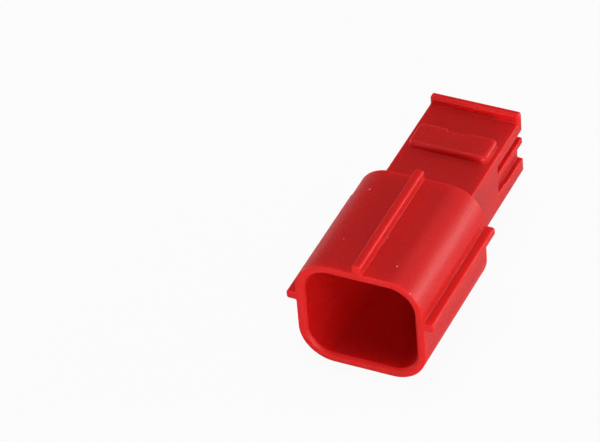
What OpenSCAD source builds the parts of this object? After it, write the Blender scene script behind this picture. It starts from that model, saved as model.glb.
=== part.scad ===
// Automotive connector: the one-piece moulded housing of a six-way tab connector, empty of terminals.
// Millimetres. +Z is up, the mating mouth faces -Y and the wire end faces +Y.
// The housing lies on its two foot ribs, which touch Z = 0; X = 0 is its plane of symmetry.

/* [Overall] */
// Length from the mouth rim to the wire-end face
overall_length = 37; // [32:0.1:44]

/* [Shroud] */
// Outside width of the shroud, without the side ribs
shroud_width = 16.7; // [16:0.1:20]
// Outside height of the shroud, without the ribs above and below
shroud_height = 15; // [14:0.1:18]
// Outside corner radius of the shroud
shroud_corner = 4.5; // [3.5:0.1:5.5]
// Wall thickness of the shroud
shroud_wall = 1.2; // [0.9:0.05:1.6]
// Thickness of the floor that closes the shroud at the shoulder
floor_thickness = 1.2; // [0.8:0.1:2.5]
// Lead-in chamfer around the inside of the mouth
mouth_chamfer = 0.35; // [0.1:0.05:0.5]

/* [Rear block] */
// Length of the block, from the wire-end face to the shoulder
block_length = 17.7; // [14:0.1:20]
// Width of the block
block_width = 12; // [11.4:0.1:13]
// Height of the block
block_height = 8.05; // [7.8:0.05:9]
// Height of the block's middle above the shroud's middle
block_raise = 0.75; // [0:0.05:1.2]
// Depth of the plain panel sunk in the shoulder between the foot ribs
panel_depth = 0.12; // [0.05:0.01:0.25]

/* [Terminal cavities] */
// Number of cavities side by side
cavity_columns = 3; // [1:1:3]
// Number of cavities one above the other
cavity_rows = 2; // [1:1:2]
// Distance between the middles of neighbouring cavities, both ways
cavity_pitch = 3.25; // [3:0.05:3.4]
// Width and height of a cavity
cavity_size = 2.45; // [2:0.05:2.6]
// Lead-in chamfer at a cavity's wire end
cavity_lead_in = 0.22; // [0.05:0.01:0.3]
// Thickness of the wall that stops a terminal at the front of its cavity
stop_thickness = 1.1; // [0.6:0.1:2]
// Width of the opening that a terminal's tab passes through
tab_width = 1.8; // [1:0.1:1.9]
// Height of that opening
tab_height = 0.9; // [0.5:0.1:1.9]

/* [Side slots] */
// Depth of the two slots in each side of the block
slot_depth = 0.72; // [0.3:0.02:0.8]
// Length of the slots, from the wire end to their blind ends
slot_length = 7.9; // [6.5:0.1:12]
// Lower edge of the wide slot, above the block's lower face
wide_slot_bottom = 1.95; // [1.6:0.05:2.1]
// Height of the wide slot
wide_slot_height = 2.4; // [2:0.05:2.6]
// Rise of the wide slot's lower edge in the stretch before its blind end
wide_slot_rise = 0.3; // [0.1:0.05:0.6]
// Where that rise begins, from the wire end
wide_slot_rise_start = 5.1; // [3:0.1:5.4]
// Length of the slope over which it rises
wide_slot_slope = 0.9; // [0.5:0.1:1]
// Height of the ridge between the two slots
ridge_height = 0.9; // [0.6:0.05:1.1]
// Height of the narrow slot
narrow_slot_height = 1.15; // [0.8:0.05:1.4]

/* [Lip and lock pad] */
// Height of the lip above the block's upper face, at the wire end
lip_height = 1.25; // [0.8:0.05:1.6]
// Thickness of the lip along the block
lip_thickness = 0.95; // [0.85:0.05:1.4]
// Radius on the lip's inner top edge
lip_radius = 0.46; // [0.2:0.02:0.6]
// Width of the lock pad on the block's upper face
pad_width = 10.5; // [8:0.1:11]
// Length of the lock pad along the block
pad_length = 4.2; // [3:0.1:5]
// Distance of the lock pad from the wire-end face
pad_start = 5.55; // [3:0.05:8]
// Height of the lock pad
pad_height = 0.95; // [0.5:0.05:1.2]
// Corner radius of the lock pad, seen from above
pad_corner = 0.8; // [0.2:0.05:1]
// Width of the notch in the middle of the pad's edge on the side of the wire end
pad_notch_width = 2.8; // [1:0.1:4]
// Depth of that notch
pad_notch_depth = 0.6; // [0.3:0.05:0.9]

/* [Ribs] */
// Width of the ribs above and below the shroud
rib_width = 1.2; // [1:0.05:1.5]
// Radius on the ribs' long edges
rib_round = 0.34; // [0.15:0.01:0.4]
// Height of the two foot ribs that the housing lies on
foot_rib_height = 1.45; // [1.35:0.05:2]
// Distance between the middles of the two foot ribs
foot_rib_spacing = 9.7; // [8:0.1:10.4]
// Length of the foot ribs, from the shoulder towards the mouth
foot_rib_length = 12.5; // [10:0.1:16]
// Height of the single rib on top
top_rib_height = 1.25; // [0.8:0.05:1.6]
// How far the side ribs stand out
side_rib_reach = 1.25; // [0.8:0.05:1.6]
// Thickness of the side ribs
side_rib_thickness = 1.15; // [0.9:0.05:1.4]
// Height of the side ribs' middles above the shroud's middle
side_rib_raise = 1.7; // [0:0.1:2]

/* [Latch nub] */
// Width of the nub between the foot ribs
nub_width = 2.1; // [1.5:0.1:3]
// Height of the nub, a little under the foot ribs
nub_height = 1.3; // [0.8:0.05:1.3]
// Distance from the shoulder to the nub's locking face
nub_start = 7.85; // [4:0.05:9]
// Length of the nub's flat
nub_flat = 1.45; // [1:0.05:2]
// Length of the nub's ramp towards the mouth
nub_ramp = 2; // [1.5:0.1:3]

/* [Hidden] */
$fn = 64;

cut = 1;
sink = 0.6;
plastic_red = [0.78, 0.1, 0.1];

mouth_y = -overall_length / 2;
wire_y = overall_length / 2;
shoulder_y = wire_y - block_length;
floor_y = shoulder_y - floor_thickness;

axis_z = foot_rib_height + shroud_height / 2;
shroud_bottom_z = foot_rib_height;
shroud_top_z = foot_rib_height + shroud_height;
block_middle_z = axis_z + block_raise;
block_bottom_z = block_middle_z - block_height / 2;
block_top_z = block_middle_z + block_height / 2;

panel_width = foot_rib_spacing - rib_width;
cavity_end_y = floor_y + stop_thickness;
ridge_bottom = wide_slot_bottom + wide_slot_height;
narrow_slot_bottom = ridge_bottom + ridge_height;

// Extrudes an outline drawn in X and Z along Y, from one station to another.
module along_y(from_y, to_y) {
    translate([0, to_y, 0]) rotate([90, 0, 0]) linear_extrude(to_y - from_y) children();
}

// Extrudes an outline drawn in Y and Z along X, centred on the plane of symmetry.
module across_x(width) {
    translate([-width / 2, 0, 0]) rotate([90, 0, 90]) linear_extrude(width) children();
}

// A rectangle with round corners, centred on the origin.
module rounded_rectangle(width, height, radius) {
    square([width - 2 * radius, height], center = true);
    square([width, height - 2 * radius], center = true);
    for (side = [-1, 1], level = [-1, 1])
        translate([side * (width / 2 - radius), level * (height / 2 - radius)]) circle(radius);
}

// A rectangle standing on the X axis of its plane, with its two upper corners round.
module loaf(width, height, radius) {
    translate([-width / 2, 0]) square([width, height - radius]);
    translate([radius - width / 2, 0]) square([width - 2 * radius, height]);
    for (side = [-1, 1])
        translate([side * (width / 2 - radius), height - radius]) circle(radius);
}

// A straight run of the shroud's rounded section, drawn in by an inset on every side.
module shroud_prism(from_y, to_y, inset) {
    along_y(from_y, to_y)
        translate([0, axis_z])
            rounded_rectangle(shroud_width - 2 * inset, shroud_height - 2 * inset, shroud_corner - inset);
}

// A short run of the same section whose inset changes evenly: four cones joined by two wedges.
module shroud_frustum(from_y, to_y, from_inset, to_inset) {
    depth = to_y - from_y;
    straight_width = shroud_width - 2 * shroud_corner;
    straight_height = shroud_height - 2 * shroud_corner;
    from_radius = shroud_corner - from_inset;
    to_radius = shroud_corner - to_inset;
    for (side = [-1, 1], level = [-1, 1])
        translate([side * straight_width / 2, from_y, axis_z + level * straight_height / 2])
            rotate([-90, 0, 0]) cylinder(h = depth, r1 = from_radius, r2 = to_radius);
    across_x(straight_width)
        polygon([
            for (end = [[from_y, from_radius], [to_y, to_radius]]) [end[0], axis_z + straight_height / 2 + end[1]],
            for (end = [[to_y, to_radius], [from_y, from_radius]]) [end[0], axis_z - straight_height / 2 - end[1]]
        ]);
    translate([0, 0, axis_z - straight_height / 2])
        linear_extrude(straight_height)
            polygon([
                for (end = [[from_y, from_radius], [to_y, to_radius]]) [straight_width / 2 + end[1], end[0]],
                for (end = [[to_y, to_radius], [from_y, from_radius]]) [-straight_width / 2 - end[1], end[0]]
            ]);
}

// The shroud's outside, closed at the shoulder.
module shroud_body() {
    shroud_prism(mouth_y, shoulder_y, 0);
}

// The space inside the shroud, from the floor out through the mouth.
module shroud_hollow() {
    shroud_prism(mouth_y - cut, floor_y, shroud_wall);
    shroud_frustum(mouth_y, mouth_y + mouth_chamfer, shroud_wall - mouth_chamfer, shroud_wall);
}

// The rectangular block that holds the terminals.
module rear_block() {
    translate([-block_width / 2, shoulder_y - sink, block_bottom_z])
        cube([block_width, block_length + sink, block_height]);
}

// The lip across the block's upper face at the wire end, round on its inner top edge.
module lip() {
    inner_y = wire_y - lip_thickness;
    across_x(block_width) {
        translate([inner_y, block_top_z - sink]) square([lip_thickness, sink + lip_height - lip_radius]);
        translate([inner_y + lip_radius, block_top_z]) square([lip_thickness - lip_radius, lip_height]);
        translate([inner_y + lip_radius, block_top_z + lip_height - lip_radius]) circle(lip_radius);
    }
}

// The lock pad: a low plate with round corners, notched towards the wire end.
module lock_pad() {
    pad_middle_y = wire_y - pad_start - pad_length / 2;
    difference() {
        translate([0, pad_middle_y, block_top_z - sink])
            linear_extrude(sink + pad_height) rounded_rectangle(pad_width, pad_length, pad_corner);
        translate([-pad_notch_width / 2, pad_middle_y + pad_length / 2 - pad_notch_depth, block_top_z])
            cube([pad_notch_width, pad_notch_depth + cut, pad_height + cut]);
    }
}

// A straight rib along Y with round outer edges, standing up from Z = 0 of its own frame.
module rib(from_y, to_y, width, height) {
    along_y(from_y, to_y) loaf(width, height, rib_round);
}

// The single rib on top of the shroud, flush with the mouth rim.
module top_rib() {
    translate([0, 0, shroud_top_z - sink])
        rib(mouth_y, shoulder_y, rib_width, top_rib_height + sink);
}

// The ribs along both sides of the shroud, flush with the mouth rim.
module side_ribs() {
    for (side = [-1, 1])
        translate([side * (shroud_width / 2 - sink), 0, axis_z + side_rib_raise])
            rotate([0, side * 90, 0])
                rib(mouth_y, shoulder_y, side_rib_thickness, side_rib_reach + sink);
}

// The two ribs that the housing lies on, with round ends towards the mouth.
module foot_ribs() {
    for (side = [-1, 1])
        translate([side * foot_rib_spacing / 2, 0, 0])
            intersection() {
                translate([0, 0, shroud_bottom_z + sink])
                    rotate([0, 180, 0])
                        rib(shoulder_y - foot_rib_length, shoulder_y, rib_width, foot_rib_height + sink);
                linear_extrude(foot_rib_height + sink)
                    translate([0, shoulder_y]) rotate(180) loaf(rib_width, foot_rib_length, rib_round);
            }
}

// The latch nub under the shroud: a steep face towards the wire end, a flat, then a ramp towards the mouth.
module latch_nub() {
    nub_y = shoulder_y - nub_start;
    across_x(nub_width)
        polygon([
            [nub_y, shroud_bottom_z + sink],
            [nub_y, shroud_bottom_z - nub_height],
            [nub_y - nub_flat, shroud_bottom_z - nub_height],
            [nub_y - nub_flat - nub_ramp, shroud_bottom_z],
            [nub_y - nub_flat - nub_ramp, shroud_bottom_z + sink]
        ]);
}

// The plain panel sunk in the shoulder between the foot ribs and below the block.
module shoulder_panel() {
    translate([-panel_width / 2, shoulder_y - panel_depth, shroud_bottom_z - cut])
        cube([panel_width, panel_depth + cut, block_bottom_z - shroud_bottom_z + cut]);
}

// One terminal cavity with its lead-in, its stop wall and its tab opening, about the cavity's own axis.
module terminal_cavity() {
    flare = cavity_size / 2 + cavity_lead_in;
    throat = cavity_size / 2;
    translate([-throat, cavity_end_y, -throat]) cube([cavity_size, wire_y - cavity_end_y + cut, cavity_size]);
    translate([-tab_width / 2, floor_y - cut, -tab_height / 2])
        cube([tab_width, stop_thickness + 2 * cut, tab_height]);
    intersection() {
        across_x(2 * flare)
            polygon([
                [wire_y - cavity_lead_in, -throat],
                [wire_y, -flare],
                [wire_y, flare],
                [wire_y - cavity_lead_in, throat]
            ]);
        translate([0, 0, -flare])
            linear_extrude(2 * flare)
                polygon([
                    [-throat, wire_y - cavity_lead_in],
                    [-flare, wire_y],
                    [flare, wire_y],
                    [throat, wire_y - cavity_lead_in]
                ]);
    }
}

// All the cavities, in rows and columns about the block's middle.
module terminal_cavities() {
    for (column = [0 : cavity_columns - 1], row = [0 : cavity_rows - 1])
        translate([
            (column - (cavity_columns - 1) / 2) * cavity_pitch,
            0,
            block_middle_z + (row - (cavity_rows - 1) / 2) * cavity_pitch
        ])
            terminal_cavity();
}

// Cuts an outline, drawn in Y and Z, into the block's right-hand side.
module cut_side() {
    translate([block_width / 2 - slot_depth, 0, 0]) rotate([90, 0, 90]) linear_extrude(slot_depth + cut) children();
}

// The wide slot's outline: open at the wire end, with its lower edge sloping up before the blind end.
module wide_slot() {
    bottom_z = block_bottom_z + wide_slot_bottom;
    blind_y = wire_y - slot_length;
    rise_y = wire_y - wide_slot_rise_start;
    polygon([
        [wire_y + cut, bottom_z],
        [wire_y + cut, bottom_z + wide_slot_height],
        [blind_y, bottom_z + wide_slot_height],
        [blind_y, bottom_z + wide_slot_rise],
        [rise_y - wide_slot_slope, bottom_z + wide_slot_rise],
        [rise_y, bottom_z]
    ]);
}

// The narrow slot's outline, open at the wire end.
module narrow_slot() {
    translate([wire_y - slot_length, block_bottom_z + narrow_slot_bottom])
        square([slot_length + cut, narrow_slot_height]);
}

// The wide and the narrow slot on both sides of the block.
module side_slots() {
    for (side = [0, 1])
        mirror([side, 0, 0])
            cut_side() {
                wide_slot();
                narrow_slot();
            }
}

// The whole moulding.
module housing() {
    color(plastic_red)
        difference() {
            union() {
                shroud_body();
                rear_block();
                lip();
                lock_pad();
                top_rib();
                side_ribs();
                foot_ribs();
                latch_nub();
            }
            shroud_hollow();
            terminal_cavities();
            side_slots();
            shoulder_panel();
        }
}

housing();
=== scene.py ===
"""Automotive connector: the one-piece moulded housing of a six-way tab connector, in a small studio.

Metres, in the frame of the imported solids: +Z is up, the mating mouth faces -Y and the wire end faces +Y.
The housing lies on its two foot ribs on a pale floor, and X = 0 is its plane of symmetry.
"""

import logging
import math
from dataclasses import dataclass, field
from enum import Enum
from typing import Any

import bmesh
import bpy
import numpy as np
from mathutils import Matrix, Quaternion, Vector


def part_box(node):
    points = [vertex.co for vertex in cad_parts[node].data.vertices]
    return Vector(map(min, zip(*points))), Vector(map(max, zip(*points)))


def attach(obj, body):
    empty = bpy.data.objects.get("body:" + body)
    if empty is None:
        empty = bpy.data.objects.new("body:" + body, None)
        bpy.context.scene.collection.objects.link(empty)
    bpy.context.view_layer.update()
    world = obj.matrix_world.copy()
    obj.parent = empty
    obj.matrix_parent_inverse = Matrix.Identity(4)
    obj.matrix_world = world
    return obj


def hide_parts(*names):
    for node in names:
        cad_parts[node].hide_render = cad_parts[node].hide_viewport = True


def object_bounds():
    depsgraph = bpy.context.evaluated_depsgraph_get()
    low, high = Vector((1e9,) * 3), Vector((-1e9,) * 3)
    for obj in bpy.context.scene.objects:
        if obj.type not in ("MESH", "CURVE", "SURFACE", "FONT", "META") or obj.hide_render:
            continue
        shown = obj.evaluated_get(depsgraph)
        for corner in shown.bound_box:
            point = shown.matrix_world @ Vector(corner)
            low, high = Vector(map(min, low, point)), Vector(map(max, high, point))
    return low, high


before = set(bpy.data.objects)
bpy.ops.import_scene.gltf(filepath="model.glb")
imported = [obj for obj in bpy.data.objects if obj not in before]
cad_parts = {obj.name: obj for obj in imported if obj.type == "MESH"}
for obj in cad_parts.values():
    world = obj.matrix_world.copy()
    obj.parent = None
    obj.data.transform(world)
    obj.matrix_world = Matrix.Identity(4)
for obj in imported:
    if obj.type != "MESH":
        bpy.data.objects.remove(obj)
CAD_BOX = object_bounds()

log = logging.getLogger("connector")

MM = 0.001
BODY = "root"
HOUSING_NODE = "housing"


def linear(hex_colour: str) -> tuple[float, float, float, float]:
    """Turns an sRGB hex colour into linear light by the sRGB standard's own curve.

    Args:
        hex_colour: Six hex digits after a hash sign.

    Returns:
        Red, green and blue from 0 to 1, and an alpha of 1.
    """
    srgb = np.array([int(hex_colour[i:i + 2], 16) for i in (1, 3, 5)]) / 255
    light = np.where(srgb <= 0.04045, srgb / 12.92, ((srgb + 0.055) / 1.055) ** 2.4)
    return (*(float(v) for v in light), 1.0)


def add_node(tree: bpy.types.NodeTree, kind: str, inputs: dict[Any, Any], **settings: Any) -> bpy.types.Node:
    """Adds a node to a tree with its settings, its input values and its links.

    Args:
        tree: The tree that takes the node.
        kind: The node's type.
        inputs: What goes into the sockets, by name or number: an output is linked, a value is set.
        **settings: The node's own properties.

    Returns:
        The new node.
    """
    node = tree.nodes.new(kind)
    for name, value in settings.items():
        setattr(node, name, value)
    for socket, value in inputs.items():
        if isinstance(value, bpy.types.NodeSocket):
            tree.links.new(value, node.inputs[socket])
        else:
            node.inputs[socket].default_value = value
    return node


def direction(azimuth: float, elevation: float) -> Vector:
    """Unit vector from the object towards a place given in degrees; azimuth 0 is -Y and 90 is +X."""
    a, e = math.radians(azimuth), math.radians(elevation)
    return Vector((math.sin(a) * math.cos(e), -math.cos(a) * math.cos(e), math.sin(e)))


def read_rows(items: Any, name: str, width: int, kind: type) -> np.ndarray:
    """Reads one property of all of a mesh's points, edges, faces or face corners at once.

    Args:
        items: The points, edges, faces or face corners.
        name: The property.
        width: How many numbers one item has.
        kind: The type of the numbers.

    Returns:
        The numbers, with one row for each item.
    """
    numbers = np.empty(width * len(items), kind)
    items.foreach_get(name, numbers)
    return numbers.reshape(-1, width)


class Bend(Enum):
    """Which way the surface turns over an edge."""

    OUTER = "outer"
    INNER = "inner"
    EITHER = "either"


@dataclass(frozen=True)
class MouldedPbt:
    """PBT, coloured through and injection moulded in a finely spark-eroded tool.

    The eye sees a satin red with a soft sheen, thin walls and edges that glow a little because light spreads
    under the skin, a faint cloudiness where the melt flowed, a fine grain whose peaks are rubbed lighter and
    smoother, and a few pale scuffs from handling. Sizes are in metres.
    """

    name: str = "moulded_pbt_red"
    red: str = "#CB0909"
    flow_red: str = "#C30708"
    rubbed_red: str = "#D01A19"
    scuff: str = "#EBA79F"
    roughness: float = 0.43
    roughness_swing: float = 0.07
    ior: float = 1.5
    gloss: float = 0.3
    spread_share: float = 1.0
    spread_depth: float = 2.2 * MM
    spread_by_colour: tuple[float, float, float] = (1.0, 0.08, 0.08)
    flow_size: float = 7 * MM
    flow_detail: float = 3.0
    grain_size: float = 0.25 * MM
    grain_detail: float = 2.0
    grain_height: float = 0.02 * MM
    grain_span: tuple[float, float] = (0.35, 0.65)
    scuff_spacing: float = 1.9 * MM
    scuff_radius: float = 0.145 * MM
    scuff_stretch: float = 1.6
    scuffed_middle: tuple[float, float, float] = (0.0, 0.0, 8.95 * MM)
    scuffed_corner: tuple[float, float, float] = (3.85 * MM, 0.0, 3.0 * MM)
    scuffed_from: float = 3.9 * MM

    def material(self) -> bpy.types.Material:
        """Builds the plastic: clouds of flow over the red, the rubbed grain over them, and scuffs on top.

        Returns:
            The material, which reads Object coordinates only.
        """
        plastic = bpy.data.materials.new(self.name)
        plastic.use_nodes = True
        tree = plastic.node_tree
        shader = tree.nodes["Principled BSDF"]
        place = add_node(tree, "ShaderNodeTexCoord", {}).outputs["Object"]
        flow = add_node(
            tree,
            "ShaderNodeTexNoise",
            {"Vector": place, "Scale": 1 / self.flow_size, "Detail": self.flow_detail},
        )
        # Spark grain is a few hundredths of a millimetre wide and finer than a pixel of the picture, so it is
        # drawn several times coarser.
        grain = add_node(
            tree,
            "ShaderNodeTexNoise",
            {"Vector": place, "Scale": 1 / self.grain_size, "Detail": self.grain_detail},
        )
        valley, peak = self.grain_span
        rubbed = add_node(
            tree,
            "ShaderNodeMapRange",
            {"Value": grain.outputs["Fac"], "From Min": valley, "From Max": peak},
        )
        roughness = add_node(
            tree,
            "ShaderNodeMapRange",
            {
                "Value": rubbed.outputs["Result"],
                "To Min": self.roughness + self.roughness_swing,
                "To Max": self.roughness - self.roughness_swing,
            },
        )
        colour: tuple[float, ...] | bpy.types.NodeSocket = linear(self.red)
        layers = (
            (flow.outputs["Fac"], self.flow_red),
            (rubbed.outputs["Result"], self.rubbed_red),
            (self.scuffs(tree, place), self.scuff),
        )
        for share, layer in layers:
            mix = add_node(
                tree,
                "ShaderNodeMix",
                {"Factor": share, "A": colour, "B": linear(layer)},
                data_type="RGBA",
            )
            colour = mix.outputs["Result"]
        skin = add_node(
            tree,
            "ShaderNodeBump",
            {"Height": grain.outputs["Fac"], "Strength": 1.0, "Distance": self.grain_height},
        )
        tree.links.new(colour, shader.inputs["Base Color"])
        tree.links.new(skin.outputs["Normal"], shader.inputs["Normal"])
        tree.links.new(roughness.outputs["Result"], shader.inputs["Roughness"])
        shader.inputs["IOR"].default_value = self.ior
        shader.inputs["Specular IOR Level"].default_value = self.gloss
        shader.inputs["Subsurface Weight"].default_value = self.spread_share
        shader.inputs["Subsurface Scale"].default_value = self.spread_depth
        shader.inputs["Subsurface Radius"].default_value = self.spread_by_colour
        return plastic

    def scuffs(self, tree: bpy.types.NodeTree, place: bpy.types.NodeSocket) -> bpy.types.NodeSocket:
        """Scatters small scuffs of varied size, longer along Y, where a hand reaches the shroud's outside.

        The distance from the shroud's rounded middle, measured in its cross section, tells the outside from
        the mouth and the block.

        Args:
            tree: The plastic's node tree.
            place: The Object coordinates.

        Returns:
            An output that is 1 on a scuff and 0 elsewhere.
        """
        origin = (0.0, 0.0, 0.0)
        cross_section = (1.0, 0.0, 1.0)
        squeezed = add_node(
            tree,
            "ShaderNodeVectorMath",
            {0: place, 1: (1.0, 1 / self.scuff_stretch, 1.0)},
            operation="MULTIPLY",
        )
        cell = add_node(
            tree,
            "ShaderNodeTexVoronoi",
            {"Vector": squeezed.outputs["Vector"], "Scale": 1 / self.scuff_spacing},
            feature="F1",
        )
        reach = add_node(
            tree,
            "ShaderNodeMath",
            {0: cell.outputs["Color"], 1: self.scuff_radius / self.scuff_spacing},
            operation="MULTIPLY",
        )
        speck = add_node(
            tree, "ShaderNodeMath", {0: cell.outputs["Distance"], 1: reach.outputs[0]}, operation="LESS_THAN"
        )
        out = place
        steps = (
            ("SUBTRACT", self.scuffed_middle),
            ("ABSOLUTE", origin),
            ("SUBTRACT", self.scuffed_corner),
            ("MAXIMUM", origin),
            ("MULTIPLY", cross_section),
        )
        for operation, other in steps:
            step = add_node(tree, "ShaderNodeVectorMath", {0: out, 1: other}, operation=operation)
            out = step.outputs["Vector"]
        distance = add_node(tree, "ShaderNodeVectorMath", {0: out}, operation="LENGTH")
        outside = add_node(
            tree,
            "ShaderNodeMath",
            {0: distance.outputs["Value"], 1: self.scuffed_from},
            operation="GREATER_THAN",
        )
        both = add_node(
            tree, "ShaderNodeMath", {0: speck.outputs[0], 1: outside.outputs[0]}, operation="MULTIPLY"
        )
        return both.outputs[0]


@dataclass
class MeshEdges:
    """The edges of a closed mesh: their middles, how far the surface turns over them, and which way."""

    middles: np.ndarray
    turns: np.ndarray
    outer: np.ndarray

    @classmethod
    def read(cls, mesh: bpy.types.Mesh) -> "MeshEdges":
        """Works the arrays out from a closed mesh.

        Sorting the face corners by edge puts the two faces of each edge side by side. The turn is the angle
        between their normals, and the edge is an outer one where the cross product of the normals points the
        way in which the first face runs along the edge.

        Args:
            mesh: A mesh in which every edge has two faces.

        Returns:
            The mesh's edges.
        """
        corner_edge = read_rows(mesh.loops, "edge_index", 1, np.int32).ravel()
        corner_point = read_rows(mesh.loops, "vertex_index", 1, np.int32).ravel()
        sides = read_rows(mesh.polygons, "loop_total", 1, np.int32).ravel()
        normals = read_rows(mesh.polygons, "normal", 3, np.float32)
        points = read_rows(mesh.vertices, "co", 3, np.float32)
        ends = read_rows(mesh.edges, "vertices", 2, np.int32)

        order = np.argsort(corner_edge, kind="stable").reshape(-1, 2)
        faces = np.repeat(np.arange(len(sides)), sides)[order]
        first, second = normals[faces[:, 0]], normals[faces[:, 1]]
        runs_on = corner_point[order[:, 0]] == ends[:, 0]
        along = points[ends[:, 1]] - points[ends[:, 0]]
        along[~runs_on] *= -1
        turns = np.arccos(np.clip(np.sum(first * second, axis=1), -1, 1))
        outer = np.sum(np.cross(first, second) * along, axis=1) > 0
        return cls(points[ends].mean(axis=1), turns, outer)


@dataclass(frozen=True)
class EdgeRule:
    """The radius of the edges whose middles lie in a box.

    The box is for the half with positive X, holds for both halves, and is in millimetres like the radius.
    The gentlest and the steepest turn that the rule takes are in degrees.
    """

    name: str
    radius: float
    low: tuple[float, float, float]
    high: tuple[float, float, float]
    bend: Bend = Bend.EITHER
    gentlest: float = 60.0
    steepest: float = 180.0

    def covers(self, edges: MeshEdges) -> np.ndarray:
        """Finds the edges that the rule is for.

        Args:
            edges: The mesh's edges.

        Returns:
            True for each edge in the box that bends the rule's way by an angle in its range.
        """
        place = edges.middles / MM
        place[:, 0] = np.abs(place[:, 0])
        inside = np.all((place >= self.low) & (place <= self.high), axis=1)
        turn = np.degrees(edges.turns)
        inside &= (turn >= self.gentlest) & (turn <= self.steepest)
        if self.bend is Bend.OUTER:
            return inside & edges.outer
        if self.bend is Bend.INNER:
            return inside & ~edges.outer
        return inside


@dataclass
class Housing:
    """The moulding: shroud, rear block, ribs, lock pad and nub in one piece, with the radii of a real mould.

    Lengths and radii in the fields are in millimetres, and the angles in radians. A zone is where a feature's
    edges lie: cavity_zone and slot_zone give a place across, the lowest and the highest; notch_zone a half
    width and two distances from the wire end; panel_zone a half width, the lowest and the highest;
    panel_depth the least and the greatest depth under the shoulder; foot_rib_zone a half width and a height.
    """

    finish: MouldedPbt
    name: str = "housing_moulding"
    weld: float = 0.002
    flat: float = math.radians(0.6)
    widest: float = 0.5
    segments: int = 4
    evenness: int = 50
    block_length: float = 17.7
    block_half_width: float = 6.0
    block_top: float = 13.725
    floor_thickness: float = 1.2
    lead_in_depth: float = 0.5
    cavity_zone: tuple[float, float, float] = (5.0, 6.4, 13.0)
    slot_zone: tuple[float, float, float] = (5.2, 7.5, 12.2)
    slot_length: float = 7.9
    pad_height: float = 0.95
    pad_from_end: float = 3.0
    notch_zone: tuple[float, float, float] = (1.5, 5.45, 6.25)
    lip_thickness: float = 0.95
    panel_zone: tuple[float, float, float] = (4.4, 1.0, 5.8)
    panel_depth: tuple[float, float] = (0.05, 0.3)
    foot_rib_length: float = 12.5
    foot_rib_zone: tuple[float, float] = (5.6, 1.45)
    foot_rib_nose: float = 0.6
    rules: list[EdgeRule] = field(default_factory=list)

    def __post_init__(self) -> None:
        """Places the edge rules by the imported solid's box; the first rule that covers an edge holds."""
        low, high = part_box(HOUSING_NODE)
        mouth, wire = low.y / MM, high.y / MM
        shoulder = wire - self.block_length
        floor = shoulder - self.floor_thickness
        pad_top = self.block_top + self.pad_height
        notch_side, notch_rear, notch_deep = self.notch_zone
        lip = wire - self.lip_thickness
        rib_nose = shoulder - self.foot_rib_length
        near, far = 0.1, 50.0
        cavity_side, cavity_low, cavity_high = self.cavity_zone
        slot_side, slot_low, slot_high = self.slot_zone
        slot_end = wire - self.slot_length - near
        block_side = self.block_half_width
        panel_side, panel_low, panel_high = self.panel_zone
        panel_shallow, panel_deep = self.panel_depth
        foot_side, foot = self.foot_rib_zone
        outer, inner = Bend.OUTER, Bend.INNER
        lowest, highest = (0.0, -far, -far), (far, far, far)
        self.rules = [
            EdgeRule(
                "tab openings",
                radius=0.05,
                low=(0, floor - near, cavity_low),
                high=(cavity_side, floor + near, cavity_high),
            ),
            EdgeRule(
                "cavity insides",
                radius=0.0,
                low=(0, floor + near, cavity_low),
                high=(cavity_side, far, cavity_high),
            ),
            EdgeRule(
                "slot corners",
                radius=0.12,
                low=(slot_side, slot_end, slot_low),
                high=(block_side - near, far, slot_high),
                bend=inner,
            ),
            EdgeRule(
                "slot edges",
                radius=0.18,
                low=(slot_side, slot_end, slot_low),
                high=(far, far, slot_high),
            ),
            EdgeRule(
                "notch corners",
                radius=0.05,
                low=(0, wire - notch_deep, self.block_top + near),
                high=(notch_side, wire - notch_rear, pad_top - near),
                bend=inner,
            ),
            EdgeRule(
                "pad notch",
                radius=0.18,
                low=(0, wire - notch_deep, pad_top - near),
                high=(notch_side, wire - notch_rear, far),
                bend=outer,
            ),
            EdgeRule(
                "pad outline",
                radius=0.5,
                low=(0, shoulder + near, pad_top - near),
                high=(far, wire - self.pad_from_end, pad_top + near),
                bend=outer,
            ),
            EdgeRule(
                "lip ends",
                radius=0.4,
                low=(block_side - near, lip - near, self.block_top + near),
                high=(far, wire - near, far),
                bend=outer,
            ),
            EdgeRule(
                "mouth lead-in",
                radius=0.06,
                low=(0, -far, 0),
                high=(far, mouth + self.lead_in_depth, far),
                bend=outer,
                gentlest=40,
                steepest=60,
            ),
            EdgeRule("mouth rim", radius=0.12, low=(0, -far, 0), high=(far, mouth + near, far), bend=outer),
            EdgeRule(
                "shroud floor",
                radius=0.3,
                low=(0, floor - near, 0),
                high=(far, floor + near, far),
                bend=inner,
            ),
            EdgeRule(
                "shoulder panel",
                radius=0.04,
                low=(0, shoulder - panel_deep, panel_low),
                high=(panel_side, shoulder - panel_shallow, panel_high),
            ),
            EdgeRule(
                "foot rib ends",
                radius=0.06,
                low=(0, shoulder - near, -near),
                high=(foot_side, shoulder + near, foot),
                bend=outer,
            ),
            EdgeRule(
                "panel sides",
                radius=0.06,
                low=(0, shoulder - near, foot),
                high=(panel_side, shoulder + near, panel_high),
                bend=outer,
            ),
            EdgeRule(
                "shoulder rim",
                radius=0.12,
                low=(0, shoulder - near, 0),
                high=(far, shoulder + near, far),
                bend=outer,
            ),
            EdgeRule(
                "foot rib noses",
                radius=0.0,
                low=(0, rib_nose - near, -near),
                high=(far, rib_nose + self.foot_rib_nose, foot - near),
            ),
            EdgeRule("feet", radius=0.14, low=lowest, high=highest, bend=inner),
            EdgeRule("outer edges", radius=0.18, low=lowest, high=highest, bend=outer),
        ]

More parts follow.
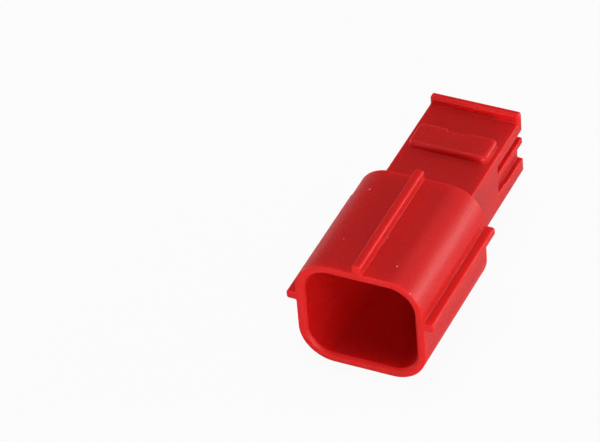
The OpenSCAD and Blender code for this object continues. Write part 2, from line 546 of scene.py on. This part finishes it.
    def merged_copy(self) -> bpy.types.Mesh:
        """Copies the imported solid's mesh, joins its loose triangles and clears most lines inside flat faces.

        Returns:
            A closed mesh of the same shape.
        """
        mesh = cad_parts[HOUSING_NODE].data.copy()
        mesh.name = self.name
        work = bmesh.new()
        work.from_mesh(mesh)
        bmesh.ops.remove_doubles(work, verts=work.verts, dist=self.weld * MM)
        bmesh.ops.dissolve_limit(work, angle_limit=self.flat, verts=work.verts, edges=work.edges)
        bmesh.ops.connect_verts_concave(work, faces=work.faces)
        work.to_mesh(mesh)
        work.free()
        mesh.materials.clear()
        mesh.shade_smooth()
        return mesh

    def weigh_edges(self, mesh: bpy.types.Mesh) -> int:
        """Gives each sharp edge the share of the widest radius that its rule asks for.

        Args:
            mesh: The merged copy.

        Returns:
            How many edges are rounded.
        """
        edges = MeshEdges.read(mesh)
        radii = np.zeros(len(edges.turns), np.float32)
        for rule in reversed(self.rules):
            radii[rule.covers(edges)] = rule.radius
        weights = mesh.attributes.new("bevel_weight_edge", "FLOAT", "EDGE")
        weights.data.foreach_set("value", radii / self.widest)
        return int(np.count_nonzero(radii))

    def build(self) -> bpy.types.Object:
        """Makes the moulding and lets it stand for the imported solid.

        Returns:
            The moulding's object.
        """
        mesh = self.merged_copy()
        rounded = self.weigh_edges(mesh)
        moulding = bpy.data.objects.new(self.name, mesh)
        bpy.context.scene.collection.objects.link(moulding)
        bevel = moulding.modifiers.new("mould radii", "BEVEL")
        bevel.limit_method = "WEIGHT"
        bevel.width = self.widest * MM
        bevel.segments = self.segments
        bevel.use_clamp_overlap = False
        bevel.loop_slide = False
        bevel.miter_outer = "MITER_ARC"
        even = moulding.modifiers.new("even shading", "WEIGHTED_NORMAL")
        even.weight = self.evenness
        self.dress(moulding)
        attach(moulding, BODY)
        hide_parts(HOUSING_NODE)
        log.info("%s: %d edges rounded", moulding.name, rounded)
        return moulding

    def dress(self, moulding: bpy.types.Object) -> None:
        """Puts the plastic on the moulding."""
        moulding.data.materials.append(self.finish.material())


@dataclass(frozen=True)
class Paper:
    """Matt studio paper of a pale grey: it spreads light evenly, and the camera sees it almost burnt out.

    The shares are how much of the paper is plain white whatever light falls on it: burnt_out for the camera,
    and mirrored for rays that come by way of a glossy or clear surface.
    """

    name: str = "pale_studio_paper"
    pale: str = "#D0D0D0"
    glare: str = "#FFFFFF"
    roughness: float = 0.9
    gloss: float = 0.0
    burnt_out: float = 0.94
    mirrored: float = 0.1

    def material(self) -> bpy.types.Material:
        """Builds the paper.

        Returns:
            A pale surface, almost white to the camera and partly white to mirror and see-through rays.
        """
        paper = bpy.data.materials.new(self.name)
        paper.use_nodes = True
        tree = paper.node_tree
        surface = tree.nodes["Principled BSDF"]
        surface.inputs["Base Color"].default_value = linear(self.pale)
        surface.inputs["Roughness"].default_value = self.roughness
        surface.inputs["Specular IOR Level"].default_value = self.gloss
        ray = add_node(tree, "ShaderNodeLightPath", {}).outputs
        straight = add_node(
            tree, "ShaderNodeMath", {0: ray["Is Camera Ray"], 1: self.burnt_out}, operation="MULTIPLY"
        )
        either = add_node(
            tree,
            "ShaderNodeMath",
            {0: ray["Is Glossy Ray"], 1: ray["Is Transmission Ray"]},
            operation="MAXIMUM",
        )
        bent = add_node(
            tree, "ShaderNodeMath", {0: either.outputs[0], 1: self.mirrored}, operation="MULTIPLY"
        )
        share = add_node(
            tree, "ShaderNodeMath", {0: straight.outputs[0], 1: bent.outputs[0]}, operation="MAXIMUM"
        )
        glow = add_node(tree, "ShaderNodeEmission", {"Color": linear(self.glare), "Strength": 1.0})
        mixed = add_node(
            tree,
            "ShaderNodeMixShader",
            {0: share.outputs[0], 1: surface.outputs["BSDF"], 2: glow.outputs["Emission"]},
        )
        tree.links.new(mixed.outputs["Shader"], tree.nodes["Material Output"].inputs["Surface"])
        return paper


@dataclass
class Sweep:
    """The floor: a round sheet of paper that turns up at its edge, so that no side shows a horizon.

    Lengths are in metres, and flat_rings are the radii of the rings inside the flat part.
    """

    finish: Paper
    name: str = "studio_floor"
    flat_rings: tuple[float, ...] = (0.05, 0.4)
    flat_radius: float = 1.0
    turn_radius: float = 0.3
    wall: float = 0.25
    turn_steps: int = 12
    spokes: int = 96

    def build(self) -> bpy.types.Object:
        """Turns the paper's profile about the Z axis.

        The profile runs out flat to flat_radius, up a quarter circle of turn_radius, and then straight up
        for the wall. Point (i, j) is the profile's point i at the angle of spoke j.

        Returns:
            The floor's object.
        """
        arc = np.linspace(0, np.pi / 2, self.turn_steps)
        out = self.flat_radius + self.turn_radius * np.sin(arc)
        up = self.turn_radius * (1 - np.cos(arc))
        radius = np.concatenate((self.flat_rings, out, out[-1:]))
        height = np.concatenate((np.zeros(len(self.flat_rings)), up, up[-1:] + self.wall))
        angle = np.linspace(0, 2 * np.pi, self.spokes, endpoint=False)
        ring = np.stack((np.outer(radius, np.cos(angle)), np.outer(radius, np.sin(angle))), axis=-1)
        level = np.broadcast_to(height[:, None, None], (*ring.shape[:2], 1))
        points = np.concatenate((ring, level), axis=-1)
        i, j = np.meshgrid(np.arange(len(radius) - 1), np.arange(self.spokes), indexing="ij")
        k = (j + 1) % self.spokes
        quads = np.stack((i, i + 1, i + 1, i), axis=-1) * self.spokes + np.stack((j, j, k, k), axis=-1)
        centre = list(range(self.spokes))
        mesh = bpy.data.meshes.new(self.name)
        mesh.from_pydata(points.reshape(-1, 3).tolist(), [], quads.reshape(-1, 4).tolist() + [centre])
        mesh.shade_smooth()
        mesh.materials.append(self.finish.material())
        floor = bpy.data.objects.new(self.name, mesh)
        bpy.context.scene.collection.objects.link(floor)
        log.info("%s: %d faces", floor.name, len(mesh.polygons))
        return floor


@dataclass(frozen=True)
class Lamp:
    """A soft box that looks at the object; angles in degrees, sizes in metres, power in watts."""

    name: str
    azimuth: float
    elevation: float
    power: float
    width: float
    height: float
    distance: float = 0.6

    def build(self, target: Vector) -> bpy.types.Object:
        """Hangs the soft box.

        Args:
            target: The point that it looks at.

        Returns:
            The lamp's object.
        """
        light = bpy.data.lights.new(self.name, "AREA")
        light.energy = self.power
        light.shape = "RECTANGLE"
        light.size = self.width
        light.size_y = self.height
        lamp = bpy.data.objects.new(self.name, light)
        towards = direction(self.azimuth, self.elevation)
        lamp.location = target + towards * self.distance
        lamp.rotation_euler = towards.to_track_quat("Z", "Y").to_euler()
        bpy.context.scene.collection.objects.link(lamp)
        return lamp


@dataclass(frozen=True)
class Viewpoint:
    """The camera: angles in degrees and lengths in millimetres, with the focal length also in pixels.

    The object's middle lies middle_right and middle_up of the line of sight, at the distance given.
    """

    azimuth: float = 27.661
    elevation: float = 39.726
    roll: float = -5.103
    distance: float = 513.68
    middle_right: float = 14.815
    middle_up: float = -1.01
    nearest: float = 10.0
    farthest: float = 10000.0
    image_width: float = 600.0
    focal_pixels: float = 4189.0
    sensor: float = 36.0

    def build(self, middle: Vector) -> bpy.types.Object:
        """Sets the camera up.

        Args:
            middle: The middle of the object's box.

        Returns:
            The camera's object, made the scene's camera.
        """
        data = bpy.data.cameras.new("camera")
        data.sensor_width = self.sensor
        data.lens = self.sensor * self.focal_pixels / self.image_width
        data.clip_start = self.nearest * MM
        data.clip_end = self.farthest * MM
        towards = direction(self.azimuth, self.elevation)
        turn = towards.to_track_quat("Z", "Y") @ Quaternion((0, 0, 1), math.radians(self.roll))
        offset = turn @ Vector((-self.middle_right, -self.middle_up, self.distance))
        camera = bpy.data.objects.new("camera", data)
        camera.matrix_world = Matrix.Translation(middle + offset * MM) @ turn.to_matrix().to_4x4()
        bpy.context.scene.collection.objects.link(camera)
        bpy.context.scene.camera = camera
        return camera


@dataclass
class Studio:
    """Paper sweep, soft boxes, even light all round, and the camera."""

    sweep: Sweep
    lamps: tuple[Lamp, ...]
    viewpoint: Viewpoint
    surround: str = "#FFFFFF"
    surround_strength: float = 0.13

    def build(self) -> None:
        """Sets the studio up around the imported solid."""
        low, high = CAD_BOX
        middle = (low + high) / 2
        self.viewpoint.build(middle)
        self.sweep.build()
        for lamp in self.lamps:
            lamp.build(middle)
            log.info("%s: %.2f W", lamp.name, lamp.power)
        world = bpy.data.worlds.new("studio")
        world.use_nodes = True
        sky = world.node_tree.nodes["Background"]
        sky.inputs["Color"].default_value = linear(self.surround)
        sky.inputs["Strength"].default_value = self.surround_strength
        scene = bpy.context.scene
        scene.world = world
        scene.view_settings.view_transform = "Standard"


def main() -> None:
    """Builds the housing and the studio, and reports each piece."""
    logging.basicConfig(level=logging.INFO, format="%(name)s %(message)s")
    housing = Housing(finish=MouldedPbt())
    lamps = (
        Lamp("front_box", azimuth=24, elevation=4.5, power=2.2, width=0.12, height=0.07),
        Lamp("right_box", azimuth=68, elevation=5, power=0.8, width=0.2, height=0.08),
        Lamp("side_box", azimuth=115, elevation=20, power=0.6, width=0.2, height=0.14),
        Lamp("edge_box", azimuth=134, elevation=7, power=0.95, width=0.36, height=0.14),
        Lamp("back_box", azimuth=155, elevation=62, power=0.3, width=0.3, height=0.24),
        Lamp("rear_box", azimuth=160, elevation=7, power=0.5, width=0.4, height=0.12),
        Lamp("left_box", azimuth=264, elevation=8, power=0.8, width=0.4, height=0.12),
        Lamp("mouth_box", azimuth=338, elevation=13, power=0.4, width=0.2, height=0.04),
        Lamp("top_box", azimuth=0, elevation=89, power=1.36, width=0.3, height=0.3),
    )
    studio = Studio(sweep=Sweep(finish=Paper()), lamps=lamps, viewpoint=Viewpoint())
    housing.build()
    studio.build()


if __name__ == "__main__":
    main()
